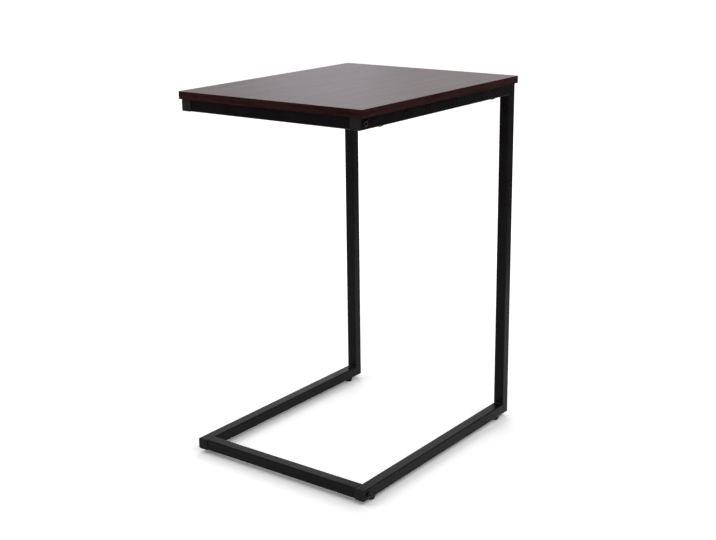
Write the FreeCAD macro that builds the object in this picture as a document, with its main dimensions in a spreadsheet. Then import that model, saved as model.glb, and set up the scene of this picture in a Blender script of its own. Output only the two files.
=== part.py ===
"""C-shaped side table: a laminated board on a black square-tube frame.

Two welded side frames, each a top rail, an upright and a base rail, are bolted
together by two crossbars: one under the board's front edge and one at the front of
the base, so that the base is open at the back. Screws through the top rails hold the
board, and four levelling feet screw into the base rails.

Millimetres. +Z is up, X runs along the crossbars and -Y is the open side of the C.
The origin is on the floor, under the middle of the board.
"""
import FreeCAD, Part
import math
import os
import Sketcher
from FreeCAD import Placement, Rotation, Vector

SIZES = (
    # the whole table
    ("overall_height", 658, "floor to the top face"),
    ("top_width", 385, "board, along X"),
    ("top_depth", 475, "board, along Y"),
    ("side_overhang", 6, "board beyond the frame at each side"),
    ("front_overhang", 2, "board beyond the frame at the front"),
    ("rear_overhang", 2, "board beyond the frame at the back"),
    ("foot_height", 8, "floor to the underside of the base rails"),
    # the board
    ("board_thickness", 13, "core with its faces"),
    ("laminate_thickness", 0.8, "top face sheet"),
    ("backer_thickness", 0.4, "underside sheet"),
    ("edge_band_thickness", 1, "strip round the edge"),
    ("edge_band_easing", 0.6, "bevel along the strip's long edges"),
    ("edge_band_seam", 0.3, "gap where the strip's two ends meet"),
    ("core_corner_radius", 2.5, "corners of the core in plan"),
    # the square tube
    ("tube_side", 20, "outside of the square tube"),
    ("tube_wall", 1.2, "wall of the tube"),
    ("tube_inner_radius", 0.8, "inside corner of the tube"),
    ("weld_leg", 2.4, "leg of the bead inside each corner"),
    ("weld_end_bevel", 0.8, "sloping ends of the bead"),
    # plastic end caps of the rails
    ("cap_flange", 2, "thickness of the cap outside the tube"),
    ("cap_edge_bevel", 0.7, "softened edge of the cap's face"),
    ("cap_stem_wall", 1.3, "wall of the cap's stem"),
    ("cap_stem_gap", 0.5, "stem to the tube's inside"),
    ("cap_stem_end_gap", 0.7, "stem's end to the bolt behind it"),
    ("cap_fin_thickness", 0.7, "each gripping fin round the stem"),
    ("cap_fin_start", 1.4, "tube's end to the first fin"),
    ("cap_fin_pitch", 2.6, "from one fin to the next"),
    # what is bolted
    ("press_gap", 0.05, "side play of a plug or fin in the tube"),
    ("thread_gap", 0.05, "radial play of a thread in its nut"),
    ("bolt_diameter", 6, "crossbar bolts"),
    ("bolt_hole_diameter", 6.6, "bolt holes in the rails"),
    ("bolt_head_diameter", 10.5, "button head"),
    ("bolt_head_height", 3.3, "button head"),
    ("bolt_head_rim", 1, "straight side of the button head"),
    ("bolt_crown_diameter", 6.6, "flat top of the button head"),
    ("hex_key", 4, "socket across its flats"),
    ("hex_depth", 2, "depth of the socket"),
    ("plug_length", 14, "threaded plug in a crossbar's end"),
    ("plug_margin", 2, "plug beyond the bolt's end"),
    ("screw_diameter", 4, "screws that hold the board"),
    ("screw_hole_diameter", 4.6, "screw holes in the top rails"),
    ("screw_head_diameter", 13, "wide domed head"),
    ("screw_head_height", 3.6, "wide domed head"),
    ("screw_head_rim", 1, "straight side of the head"),
    ("screw_crown_diameter", 7, "flat middle of the head"),
    ("screw_tip", 3, "tapered point"),
    ("screw_tip_radius", 0.4, "end of the point"),
    ("screw_cover", 3, "point to the board's top face"),
    ("screw_inset", 65, "screws from the ends of the frame"),
    ("recess_width", 1.1, "cross recess, one slot"),
    ("recess_length", 5, "cross recess, end to end"),
    ("recess_depth", 1.3, "cross recess"),
    ("pilot_gap", 0.05, "radial play of a screw in the board"),
    ("pilot_extra", 1, "pilot hole beyond the screw's point"),
    # levelling feet
    ("foot_inset", 32, "foot centres from the ends of the frame"),
    ("foot_top_diameter", 16, "pad's rim"),
    ("foot_bottom_diameter", 13, "pad on the floor"),
    ("foot_bottom_chamfer", 0.6, "pad's lower edge"),
    ("foot_rim", 2.4, "height of the pad's rim"),
    ("foot_stop_gap", 0.2, "pad to the insert nut when screwed in"),
    ("foot_floor", 1.2, "pad under the stud's head"),
    ("foot_flat_depth", 0.5, "spanner flats into the pad's rim"),
    ("foot_flat_count", 6, "spanner flats"),
    ("stud_diameter", 6, "foot's threaded stud"),
    ("stud_head_diameter", 9, "stud's head inside the pad"),
    ("stud_head_height", 2, "stud's head inside the pad"),
    ("stud_tip_gap", 2.8, "stud's tip to the tube's upper wall"),
    ("stud_tip", 0.8, "bevel at the stud's tip"),
    ("nut_flange_diameter", 13, "insert nut under the rail"),
    ("nut_flange_thickness", 0.8, "insert nut under the rail"),
    ("nut_barrel_diameter", 9, "insert nut"),
    ("nut_barrel_length", 9, "insert nut above the rail's wall"),
    ("nut_fold_diameter", 12, "fold that grips the wall from inside"),
    ("nut_fold_height", 2.4, "fold that grips the wall from inside"),
)

# Places and lengths that several pieces share, as expressions on the sheet.
TUBE_INSIDE = "(sizes.tube_side - 2 * sizes.tube_wall)"
TUBE_RADIUS = "(sizes.tube_inner_radius + sizes.tube_wall)"
FRAME_FRONT = "(sizes.front_overhang - sizes.top_depth / 2)"
FRAME_REAR = "(sizes.top_depth / 2 - sizes.rear_overhang)"
FRAME_SIDE = "(sizes.top_width / 2 - sizes.side_overhang)"
BOARD_UNDERSIDE = "(sizes.overall_height - sizes.board_thickness)"
RAIL_X = f"({FRAME_SIDE} - sizes.tube_side / 2)"
RAIL_FRONT = f"({FRAME_FRONT} + sizes.cap_flange)"
RAIL_LENGTH = f"({FRAME_REAR} - {RAIL_FRONT})"
RAIL_MIDDLE = f"(({FRAME_REAR} + {RAIL_FRONT}) / 2)"
TOP_RAIL_Z = f"({BOARD_UNDERSIDE} - sizes.tube_side / 2)"
BASE_RAIL_Z = "(sizes.foot_height + sizes.tube_side / 2)"
UPRIGHT_LENGTH = f"({BOARD_UNDERSIDE} - sizes.foot_height)"
UPRIGHT_MIDDLE = f"(({BOARD_UNDERSIDE} + sizes.foot_height) / 2)"
UPRIGHT_Y = f"({FRAME_REAR} - sizes.tube_side / 2)"
CROSSBAR_Y = f"({RAIL_FRONT} + sizes.tube_side / 2)"
CROSSBAR_LENGTH = f"(2 * {FRAME_SIDE} - 2 * sizes.tube_side)"
SCREW_BITE = "(sizes.board_thickness - sizes.screw_cover)"
PAD_HEIGHT = "(sizes.foot_height - sizes.nut_flange_thickness - sizes.foot_stop_gap)"
SIDES = (("left", -1), ("right", 1))
ENDS = (
    ("front", f"({FRAME_FRONT} + sizes.foot_inset)", f"({FRAME_FRONT} + sizes.screw_inset)"),
    ("rear", f"({FRAME_REAR} - sizes.foot_inset)", f"({FRAME_REAR} - sizes.screw_inset)"),
)
CROSSBARS = (("top", TOP_RAIL_Z), ("base", BASE_RAIL_Z))

doc = FreeCAD.newDocument("c_side_table")
sheet = doc.addObject("Spreadsheet::Sheet", "sizes")
for row, (alias, value, meaning) in enumerate(SIZES, start=1):
    sheet.set(f"A{row}", alias)
    sheet.set(f"B{row}", str(value))
    sheet.setAlias(f"B{row}", alias)
    sheet.set(f"C{row}", meaning)
doc.recompute()


# ---- small helpers -----------------------------------------------------------

def measure(expression):
    """Give the present value of an expression on the sheet."""
    result = sheet.evalExpression(expression)
    return float(getattr(result, "Value", result))


def place(item, x="0", y="0", z="0", rotation=Rotation()):
    """Turn an object, then bind its position to three expressions."""
    item.Placement = Placement(Vector(), rotation)
    for axis, expression in zip("xyz", (x, y, z)):
        item.setExpression(f"Placement.Base.{axis}", expression)
    return item


def new_body(label):
    """Start one solid piece."""
    return doc.addObject("PartDesign::Body", label)


def new_sketch(body, role, offset="0"):
    """Put a sketch on one of the body's own origin planes, moved along its normal."""
    sketch = body.newObject("Sketcher::SketchObject", f"{body.Name}_sketch")
    plane = next(item for item in body.Origin.OriginFeatures if item.Role == role)
    sketch.AttachmentSupport = [(plane, "")]
    sketch.MapMode = "FlatFace"
    sketch.setExpression("AttachmentOffset.Base.z", offset)
    return sketch


def dimension(sketch, expression, kind, *references):
    """Add a driving dimension and bind it to the sheet."""
    index = sketch.addConstraint(Sketcher.Constraint(kind, *references, measure(expression)))
    name = f"size_{index}"
    sketch.renameConstraint(index, name)
    sketch.setExpression(f"Constraints.{name}", expression)


def pin_point(sketch, geometry, point, x, y):
    """Hold a point of a sketch at two expressions from the sketch's origin."""
    for kind, axis, expression in (("DistanceX", -2, x), ("DistanceY", -1, y)):
        if expression == "0":
            sketch.addConstraint(Sketcher.Constraint("PointOnObject", geometry, point, axis))
        else:
            dimension(sketch, expression, kind, -1, 1, geometry, point)


def rounded_rectangle(sketch, width, depth, radius):
    """Draw a rectangle with round corners about the sketch's origin."""
    x, y, r = measure(width) / 2, measure(depth) / 2, measure(radius)
    corners = ((1, -1, -90), (1, 1, 0), (-1, 1, 90), (-1, -1, 180))
    arcs, points = [], []
    for side_x, side_y, angle in corners:
        circle = Part.Circle(Vector(side_x * (x - r), side_y * (y - r), 0), Vector(0, 0, 1), r)
        arc = Part.ArcOfCircle(circle, math.radians(angle), math.radians(angle + 90))
        points.append((arc.StartPoint, arc.EndPoint))
        arcs.append(sketch.addGeometry(arc, False))
    lines = []
    for index, (_, end) in enumerate(points):
        start_of_next = points[(index + 1) % 4][0]
        lines.append(sketch.addGeometry(Part.LineSegment(end, start_of_next), False))
    for index, line in enumerate(lines):
        direction = "Vertical" if index % 2 == 0 else "Horizontal"
        sketch.addConstraint(Sketcher.Constraint("Tangent", arcs[index], 2, line, 1))
        sketch.addConstraint(Sketcher.Constraint("Tangent", line, 2, arcs[(index + 1) % 4], 1))
        sketch.addConstraint(Sketcher.Constraint(direction, line))
    for arc in arcs[1:]:
        sketch.addConstraint(Sketcher.Constraint("Equal", arcs[0], arc))
    sketch.addConstraint(Sketcher.Constraint("Symmetric", arcs[0], 3, arcs[2], 3, -1, 1))
    dimension(sketch, radius, "Radius", arcs[0])
    dimension(sketch, width, "DistanceX", lines[2], 1, lines[0], 1)
    dimension(sketch, depth, "DistanceY", lines[3], 1, lines[1], 1)


def polygon(sketch, points):
    """Draw a closed outline through points that are pairs of expressions."""
    spots = [Vector(measure(x), measure(y), 0) for x, y in points]
    lines = [sketch.addGeometry(Part.LineSegment(start, end), False)
             for start, end in zip(spots, spots[1:] + spots[:1])]
    for index, (x, y) in enumerate(points):
        sketch.addConstraint(Sketcher.Constraint("Coincident", lines[index - 1], 2, lines[index], 1))
        pin_point(sketch, lines[index], 1, x, y)


def square(sketch, side):
    """Draw a square about the sketch's origin."""
    half = f"{side} / 2"
    polygon(sketch, ((f"-{half}", f"-{half}"), (half, f"-{half}"), (half, half), (f"-{half}", half)))


def circles(sketch, diameter, spots):
    """Draw equal circles at spots that are pairs of expressions."""
    for x, y in spots:
        centre = Vector(measure(x), measure(y), 0)
        circle = sketch.addGeometry(Part.Circle(centre, Vector(0, 0, 1), measure(diameter) / 2), False)
        dimension(sketch, diameter, "Diameter", circle)
        pin_point(sketch, circle, 3, x, y)


def pad(body, sketch, length, side="One side", reverse=False):
    """Give a sketch its thickness."""
    feature = body.newObject("PartDesign::Pad", f"{body.Name}_pad")
    feature.Profile = sketch
    feature.SideType = side
    feature.Reversed = reverse
    feature.setExpression("Length", length)
    return feature


def cut_through(body, sketch, side="Symmetric", reverse=False):
    """Cut a sketch right through the body, both ways from its plane or one way."""
    feature = body.newObject("PartDesign::Pocket", f"{body.Name}_cut")
    feature.Profile = sketch
    feature.Type = "ThroughAll"
    feature.SideType = side
    feature.Reversed = reverse
    return feature


def revolve(body, points):
    """Turn an outline of radius and height pairs about the body's Z axis."""
    sketch = new_sketch(body, "XZ_Plane")
    polygon(sketch, points)
    feature = body.newObject("PartDesign::Revolution", f"{body.Name}_turned")
    feature.Profile = sketch
    feature.ReferenceAxis = (sketch, ["V_Axis"])
    feature.Angle = 360
    return feature


def bevel_edges(body, size, chosen):
    """Bevel the edges of the body's last feature that a test picks out."""
    doc.recompute()
    base = body.Tip
    names = [f"Edge{number}" for number, edge in enumerate(base.Shape.Edges, start=1) if chosen(edge)]
    feature = body.newObject("PartDesign::Chamfer", f"{body.Name}_bevel")
    feature.Base = (base, names)
    feature.setExpression("Size", size)
    return feature


def at(edge, axis, value):
    """Say whether an edge lies square to the X, Y or Z axis (0, 1 or 2) at a value."""
    box = edge.BoundBox
    low, high = ((box.XMin, box.XMax), (box.YMin, box.YMax), (box.ZMin, box.ZMax))[axis]
    return abs(low - value) < 1e-3 and abs(high - value) < 1e-3


def group(label, members):
    """Keep identical pieces together as separate solids under one name."""
    compound = doc.addObject("Part::Compound", label)
    compound.Links = members
    return compound


# ---- the board ---------------------------------------------------------------

def board_sheet(label, thickness, z):
    """One flat layer of the board, inside the edge strip."""
    body = new_body(label)
    sketch = new_sketch(body, "XY_Plane")
    inside = "2 * sizes.edge_band_thickness"
    rounded_rectangle(sketch, f"sizes.top_width - {inside}", f"sizes.top_depth - {inside}",
                      "sizes.core_corner_radius")
    pad(body, sketch, thickness)
    return place(body, z=z)


def screw_spots():
    """Where the four board screws stand in plan."""
    return [(f"{side} * {RAIL_X}", screw_y) for _, side in SIDES for _, _, screw_y in ENDS]


def board():
    """Core, face sheets and edge strip of the tabletop."""
    pilot = "(sizes.screw_diameter + 2 * sizes.pilot_gap)"
    core_bottom = f"({BOARD_UNDERSIDE} + sizes.backer_thickness)"
    core_thickness = "(sizes.board_thickness - sizes.laminate_thickness - sizes.backer_thickness)"
    core = board_sheet("tabletop_core", core_thickness, core_bottom)
    sketch = new_sketch(core, "XY_Plane")
    circles(sketch, pilot, screw_spots())
    holes = core.newObject("PartDesign::Pocket", "tabletop_core_pilot_holes")
    holes.Profile = sketch
    holes.Reversed = True
    holes.setExpression("Length", f"{SCREW_BITE} - sizes.backer_thickness + sizes.pilot_extra")

    backer = board_sheet("tabletop_backer", "sizes.backer_thickness", BOARD_UNDERSIDE)
    sketch = new_sketch(backer, "XY_Plane")
    circles(sketch, pilot, screw_spots())
    cut_through(backer, sketch)

    laminate = board_sheet("tabletop_laminate", "sizes.laminate_thickness",
                           "sizes.overall_height - sizes.laminate_thickness")
    return [core, backer, laminate, edge_band()]


def edge_band():
    """A strip wrapped once round the board, its ends meeting in the middle of the back."""
    body = new_body("tabletop_edge_band")
    sketch = new_sketch(body, "XY_Plane")
    inside = "2 * sizes.edge_band_thickness"
    rounded_rectangle(sketch, "sizes.top_width", "sizes.top_depth",
                      "sizes.core_corner_radius + sizes.edge_band_thickness")
    rounded_rectangle(sketch, f"sizes.top_width - {inside}", f"sizes.top_depth - {inside}",
                      "sizes.core_corner_radius")
    pad(body, sketch, "sizes.board_thickness")
    half_width, half_depth = measure("sizes.top_width") / 2, measure("sizes.top_depth") / 2
    straight = measure("sizes.core_corner_radius + sizes.edge_band_thickness")
    heights = (0, measure("sizes.board_thickness"))

    def on_outside(edge):
        """Pick the strip's outer long edges, straight runs and corners alike."""
        if not any(at(edge, 2, height) for height in heights):
            return False
        box = edge.BoundBox
        reach_x, reach_y = max(abs(box.XMin), abs(box.XMax)), max(abs(box.YMin), abs(box.YMax))
        corner = min(half_width - reach_x, half_depth - reach_y) < 1e-3
        return corner and max(box.XLength, box.YLength) >= straight - 1e-3

    bevel_edges(body, "sizes.edge_band_easing", on_outside)
    half_seam = "sizes.edge_band_seam / 2"
    behind, before = "sizes.top_depth / 2 + 1", "sizes.top_depth / 2 - sizes.edge_band_thickness - 1"
    sketch = new_sketch(body, "XY_Plane")
    polygon(sketch, ((f"-{half_seam}", before), (half_seam, before), (half_seam, behind),
                     (f"-{half_seam}", behind)))
    cut_through(body, sketch)
    return place(body, z=BOARD_UNDERSIDE)


# ---- the welded side frames --------------------------------------------------

def square_tube(label, role, length):
    """A length of square tube about the body's origin, along the normal of a plane."""
    body = new_body(label)
    sketch = new_sketch(body, role)
    rounded_rectangle(sketch, "sizes.tube_side", "sizes.tube_side", TUBE_RADIUS)
    rounded_rectangle(sketch, TUBE_INSIDE, TUBE_INSIDE, "sizes.tube_inner_radius")
    pad(body, sketch, length, side="Symmetric")
    return body


def mitre(body, corner_y, corner_z, turn_y, turn_z):
    """Cut a tube's end at 45 degrees: a triangle in the YZ plane, its right angle outside."""
    margin = "sizes.tube_side / 10"
    leg = f"(sizes.tube_side + 2 * {margin})"
    y, z = f"({corner_y} - {turn_y} * {margin})", f"({corner_z} - {turn_z} * {margin})"
    sketch = new_sketch(body, "YZ_Plane")
    polygon(sketch, ((y, z), (f"({y} + {turn_y} * {leg})", z), (y, f"({z} + {turn_z} * {leg})")))
    return cut_through(body, sketch)


def drill_across(body):
    """Drill a rail from side to side for its crossbar's bolt."""
    sketch = new_sketch(body, "YZ_Plane")
    circles(sketch, "sizes.bolt_hole_diameter", [(f"{CROSSBAR_Y} - {RAIL_MIDDLE}", "0")])
    return cut_through(body, sketch)


def corner_weld(label, x, z, rise):
    """A convex bead in the inside corner between the upright and a rail."""
    body = new_body(label)
    sketch = new_sketch(body, "YZ_Plane")
    leg = measure("sizes.weld_leg")
    start, end = (90, 180) if rise > 0 else (180, 270)
    circle = Part.Circle(Vector(0, 0, 0), Vector(0, 0, 1), leg)
    arc = Part.ArcOfCircle(circle, math.radians(start), math.radians(end))
    bow = sketch.addGeometry(arc, False)
    origin = Vector(0, 0, 0)
    first = sketch.addGeometry(Part.LineSegment(arc.EndPoint, origin), False)
    second = sketch.addGeometry(Part.LineSegment(origin, arc.StartPoint), False)
    for one, other in ((bow, first), (first, second), (second, bow)):
        sketch.addConstraint(Sketcher.Constraint("Coincident", one, 2, other, 1))
    sketch.addConstraint(Sketcher.Constraint("Coincident", first, 2, -1, 1))
    sketch.addConstraint(Sketcher.Constraint("Coincident", bow, 3, -1, 1))
    sketch.addConstraint(Sketcher.Constraint("Horizontal" if rise > 0 else "Vertical", first))
    sketch.addConstraint(Sketcher.Constraint("Vertical" if rise > 0 else "Horizontal", second))
    dimension(sketch, "sizes.weld_leg", "Radius", bow)
    pad(body, sketch, f"sizes.tube_side - 2 * {TUBE_RADIUS}", side="Symmetric")
    half_length = measure(f"sizes.tube_side / 2 - {TUBE_RADIUS}")
    bevel_edges(body, "sizes.weld_end_bevel",
                lambda edge: edge.Curve.TypeId == "Part::GeomCircle"
                and abs(abs(edge.BoundBox.Center.x) - half_length) < 1e-3)
    return place(body, x, f"{FRAME_REAR} - sizes.tube_side", z)


def side_frame(name, side):
    """Top rail, upright and base rail of one side, mitred and welded into a C."""
    x = f"{side} * {RAIL_X}"
    half_rail, half_upright, half_side = f"{RAIL_LENGTH} / 2", f"{UPRIGHT_LENGTH} / 2", "sizes.tube_side / 2"

    top = square_tube(f"{name}_top_rail", "XZ_Plane", RAIL_LENGTH)
    mitre(top, half_rail, f"-{half_side}", -1, 1)
    drill_across(top)
    sketch = new_sketch(top, "XY_Plane")
    circles(sketch, "sizes.screw_hole_diameter",
            [("0", f"{screw_y} - {RAIL_MIDDLE}") for _, _, screw_y in ENDS])
    cut_through(top, sketch)
    place(top, x, RAIL_MIDDLE, TOP_RAIL_Z)

    upright = square_tube(f"{name}_upright", "XY_Plane", UPRIGHT_LENGTH)
    mitre(upright, f"-{half_side}", half_upright, 1, -1)
    mitre(upright, f"-{half_side}", f"-{half_upright}", 1, 1)
    place(upright, x, UPRIGHT_Y, UPRIGHT_MIDDLE)

    base = square_tube(f"{name}_base_rail", "XZ_Plane", RAIL_LENGTH)
    mitre(base, half_rail, half_side, -1, -1)
    drill_across(base)
    sketch = new_sketch(base, "XY_Plane")
    circles(sketch, "sizes.nut_barrel_diameter + 2 * sizes.press_gap",
            [("0", f"{foot_y} - {RAIL_MIDDLE}") for _, foot_y, _ in ENDS])
    cut_through(base, sketch, side="One side")
    place(base, x, RAIL_MIDDLE, BASE_RAIL_Z)

    welds = group(f"{name}_corner_welds", [
        corner_weld(f"{name}_top_weld", x, f"{BOARD_UNDERSIDE} - sizes.tube_side", -1),
        corner_weld(f"{name}_base_weld", x, "sizes.foot_height + sizes.tube_side", 1),
    ])
    return [top, upright, base, welds]


def end_cap(label, x, z):
    """Moulded cap in a rail's open end: a square face and a short stem with gripping fins."""
    body = new_body(label)
    sketch = new_sketch(body, "XZ_Plane")
    rounded_rectangle(sketch, "sizes.tube_side", "sizes.tube_side", TUBE_RADIUS)
    pad(body, sketch, "sizes.cap_flange")
    face_y = -measure("sizes.cap_flange")
    bevel_edges(body, "sizes.cap_edge_bevel", lambda edge: at(edge, 1, face_y))

    stem_side = f"({TUBE_INSIDE} - 2 * sizes.cap_stem_gap)"
    stem_hollow = f"({stem_side} - 2 * sizes.cap_stem_wall)"
    sketch = new_sketch(body, "XZ_Plane")
    square(sketch, stem_side)
    square(sketch, stem_hollow)
    stem_length = "sizes.tube_side / 2 - sizes.bolt_hole_diameter / 2 - sizes.cap_stem_end_gap"
    pad(body, sketch, stem_length, reverse=True)

    fin_side = f"({TUBE_INSIDE} - 2 * sizes.press_gap)"
    sketch = new_sketch(body, "XZ_Plane", offset="-sizes.cap_fin_start")
    rounded_rectangle(sketch, fin_side, fin_side, "sizes.tube_inner_radius")
    square(sketch, stem_hollow)
    fin = pad(body, sketch, "sizes.cap_fin_thickness", reverse=True)
    doc.recompute()
    fins = body.newObject("PartDesign::LinearPattern", f"{body.Name}_fins")
    fins.Originals = [fin]
    fins.Direction = (sketch, ["N_Axis"])
    fins.Reversed = True
    fins.Mode = "Spacing"
    fins.setExpression("Offset", "sizes.cap_fin_pitch")
    fins.Occurrences = 2
    body.Tip = fins
    return place(body, x, RAIL_FRONT, z)


# ---- crossbars and what holds them -------------------------------------------

def crossbar(name, z):
    """A straight tube between the two side frames."""
    body = square_tube(f"{name}_crossbar", "YZ_Plane", CROSSBAR_LENGTH)
    return place(body, y=CROSSBAR_Y, z=z)


def crossbar_plug(label, side, z):
    """Threaded block in a crossbar's end, flush with it, for one bolt."""
    body = new_body(label)
    sketch = new_sketch(body, "YZ_Plane")
    plug_side = f"({TUBE_INSIDE} - 2 * sizes.press_gap)"
    rounded_rectangle(sketch, plug_side, plug_side, "sizes.tube_inner_radius")
    circles(sketch, "sizes.bolt_diameter + 2 * sizes.thread_gap", [("0", "0")])
    pad(body, sketch, "sizes.plug_length", side="Symmetric")
    return place(body, f"{side} * ({CROSSBAR_LENGTH} / 2 - sizes.plug_length / 2)", CROSSBAR_Y, z)


def crossbar_bolt(label, side, z):
    """Button-head bolt with a hexagon socket, from outside a rail into the plug."""
    body = new_body(label)
    length = "(sizes.tube_side + sizes.plug_length - sizes.plug_margin)"
    shank, head = "sizes.bolt_diameter / 2", "sizes.bolt_head_diameter / 2"
    top = "sizes.bolt_head_height"
    revolve(body, (("0", f"-{length}"), (shank, f"-{length}"), (shank, "0"), (head, "0"),
                   (head, "sizes.bolt_head_rim"), ("sizes.bolt_crown_diameter / 2", top), ("0", top)))
    socket = body.newObject("PartDesign::SubtractivePrism", f"{body.Name}_socket")
    socket.setExpression("Circumradius", "sizes.hex_key / sqrt(3)")
    socket.setExpression("Height", "sizes.hex_depth + 1")
    place(socket, z="sizes.bolt_head_height - sizes.hex_depth")
    return place(body, f"{side} * {FRAME_SIDE}", CROSSBAR_Y, z, Rotation(Vector(0, 1, 0), side * 90))


def board_screw(label, x, y):
    """Wide-headed screw that goes up through a top rail into the board."""
    body = new_body(label)
    straight = f"(sizes.tube_side + {SCREW_BITE} - sizes.screw_tip)"
    shank, head = "sizes.screw_diameter / 2", "sizes.screw_head_diameter / 2"
    point = f"({straight} + sizes.screw_tip)"
    revolve(body, (("0", "-sizes.screw_head_height"),
                   ("sizes.screw_crown_diameter / 2", "-sizes.screw_head_height"),
                   (head, "-sizes.screw_head_rim"), (head, "0"), (shank, "0"), (shank, straight),
                   ("sizes.screw_tip_radius", point), ("0", point)))
    for width, length in (("width", "length"), ("length", "width")):
        sketch = new_sketch(body, "XY_Plane", offset="-sizes.screw_head_height")
        half_x, half_y = f"sizes.recess_{width} / 2", f"sizes.recess_{length} / 2"
        polygon(sketch, ((f"-{half_x}", f"-{half_y}"), (half_x, f"-{half_y}"), (half_x, half_y),
                         (f"-{half_x}", half_y)))
        slot = body.newObject("PartDesign::Pocket", f"{body.Name}_recess")
        slot.Profile = sketch
        slot.Reversed = True
        slot.setExpression("Length", "sizes.recess_depth")
    return place(body, x, y, f"{BOARD_UNDERSIDE} - sizes.tube_side")


# ---- levelling feet ----------------------------------------------------------

def insert_nut(label, x, y):
    """Blind-rivet nut: flange under the rail, wall through it, fold gripping it from inside."""
    body = new_body(label)
    bore = "sizes.stud_diameter / 2 + sizes.thread_gap"
    barrel, flange = "sizes.nut_barrel_diameter / 2", "sizes.nut_flange_diameter / 2"
    fold, fold_top = "sizes.nut_fold_diameter / 2", "sizes.tube_wall + sizes.nut_fold_height"
    top = "sizes.tube_wall + sizes.nut_barrel_length"
    revolve(body, ((bore, "-sizes.nut_flange_thickness"), (flange, "-sizes.nut_flange_thickness"),
                   (flange, "0"), (barrel, "0"), (barrel, "sizes.tube_wall"), (fold, "sizes.tube_wall"),
                   (barrel, fold_top), (barrel, top), (bore, top)))
    return place(body, x, y, "sizes.foot_height")


def foot_stud(label, x, y):
    """Threaded stud whose round head is moulded into the pad."""
    body = new_body(label)
    head_bottom = "sizes.foot_floor + sizes.thread_gap"
    shank_start = f"{head_bottom} + sizes.stud_head_height"
    tip = "(sizes.foot_height + sizes.tube_side - sizes.tube_wall - sizes.stud_tip_gap)"
    radius, head = "sizes.stud_diameter / 2", "sizes.stud_head_diameter / 2"
    revolve(body, (("0", head_bottom), (head, head_bottom), (head, shank_start), (radius, shank_start),
                   (radius, f"{tip} - sizes.stud_tip"), (f"{radius} - sizes.stud_tip", tip), ("0", tip)))
    return place(body, x, y)


def foot_pad(label, x, y):
    """Moulded pad, narrower at the floor, with spanner flats round its rim."""
    body = new_body(label)
    bottom, rim = "sizes.foot_bottom_diameter / 2", "sizes.foot_top_diameter / 2"
    bore = "sizes.stud_diameter / 2 + sizes.thread_gap"
    recess = "sizes.stud_head_diameter / 2 + sizes.thread_gap"
    recess_top = "sizes.foot_floor + sizes.stud_head_height + 2 * sizes.thread_gap"
    revolve(body, (("0", "0"), (f"{bottom} - sizes.foot_bottom_chamfer", "0"),
                   (bottom, "sizes.foot_bottom_chamfer"), (rim, f"{PAD_HEIGHT} - sizes.foot_rim"),
                   (rim, PAD_HEIGHT), (bore, PAD_HEIGHT), (bore, recess_top), (recess, recess_top),
                   (recess, "sizes.foot_floor"), ("0", "sizes.foot_floor")))
    flat, beyond = f"({rim} - sizes.foot_flat_depth)", f"({rim} + 1)"
    sketch = new_sketch(body, "XY_Plane")
    polygon(sketch, ((flat, f"-{rim}"), (beyond, f"-{rim}"), (beyond, rim), (flat, rim)))
    cut = cut_through(body, sketch, side="One side", reverse=True)
    doc.recompute()
    flats = body.newObject("PartDesign::PolarPattern", f"{body.Name}_flats")
    flats.Originals = [cut]
    flats.Axis = (sketch, ["N_Axis"])
    flats.Angle = 360
    flats.setExpression("Occurrences", "sizes.foot_flat_count")
    body.Tip = flats
    return place(body, x, y)


# ---- the whole table ---------------------------------------------------------

def table():
    """Make every piece and give the ones that are written, in order."""
    pieces = board()
    caps, screws, nuts, feet = [], [], [], []
    for name, side in SIDES:
        x = f"{side} * {RAIL_X}"
        pieces += side_frame(name, side)
        caps.append(end_cap(f"{name}_top_end_cap", x, TOP_RAIL_Z))
        caps.append(end_cap(f"{name}_base_end_cap", x, BASE_RAIL_Z))
        for end, foot_y, screw_y in ENDS:
            screws.append(board_screw(f"{end}_{name}_screw", x, screw_y))
            nuts.append(insert_nut(f"{end}_{name}_nut", x, foot_y))
            feet.append(foot_stud(f"{end}_{name}_foot_stud", x, foot_y))
            feet.append(foot_pad(f"{end}_{name}_foot_pad", x, foot_y))
    for name, z in CROSSBARS:
        pieces.append(crossbar(name, z))
        plugs = [crossbar_plug(f"{name}_{end}_plug", side, z) for end, side in SIDES]
        bolts = [crossbar_bolt(f"{name}_{end}_bolt", side, z) for end, side in SIDES]
        pieces += [group(f"{name}_crossbar_plugs", plugs), group(f"{name}_crossbar_bolts", bolts)]
    return pieces + caps + [group("tabletop_screws", screws), group("foot_insert_nuts", nuts)] + feet


def check(pieces):
    """Stop if a feature failed, a cut took nothing away or a piece isn't whole."""
    for item in doc.Objects:
        if {"Invalid", "Error"} & set(item.State):
            raise RuntimeError(f"{item.Label} failed: {item.State}")
        if item.TypeId == "PartDesign::Pocket" and item.Shape.Volume >= item.BaseFeature.Shape.Volume:
            raise RuntimeError(f"{item.Label} cuts nothing")
    for piece in pieces:
        members = piece.Links if piece.TypeId == "Part::Compound" else [piece]
        shape = piece.Shape
        if shape.isNull() or not shape.isValid() or len(shape.Solids) != len(members):
            raise RuntimeError(f"{piece.Label} isn't {len(members)} sound solid(s)")


pieces = table()
doc.recompute()
check(pieces)
os.makedirs("parts", exist_ok=True)
for piece in pieces:
    piece.Shape.exportStep(f"parts/{piece.Label}.step")
    print(f"{piece.Label}: {piece.Shape.Volume / 1000:.3f} cm3")
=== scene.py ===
"""Looks of the C-shaped side table: an espresso laminated board on a black square-tube frame.

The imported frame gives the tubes, the board's sheets and every place. This file dresses
them and makes the pieces that need a finer surface: the board's edge strip, the moulded
end caps, the weld beads, the bolts and screws, and the levelling feet.

Sizes are in millimetres and turn to metres when a mesh is made. +Z is up, X runs along
the crossbars and -Y is the open side of the C.
"""

import logging
import math
from abc import ABC, abstractmethod
from collections.abc import Mapping, Sequence
from dataclasses import dataclass, field
from enum import Enum

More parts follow.
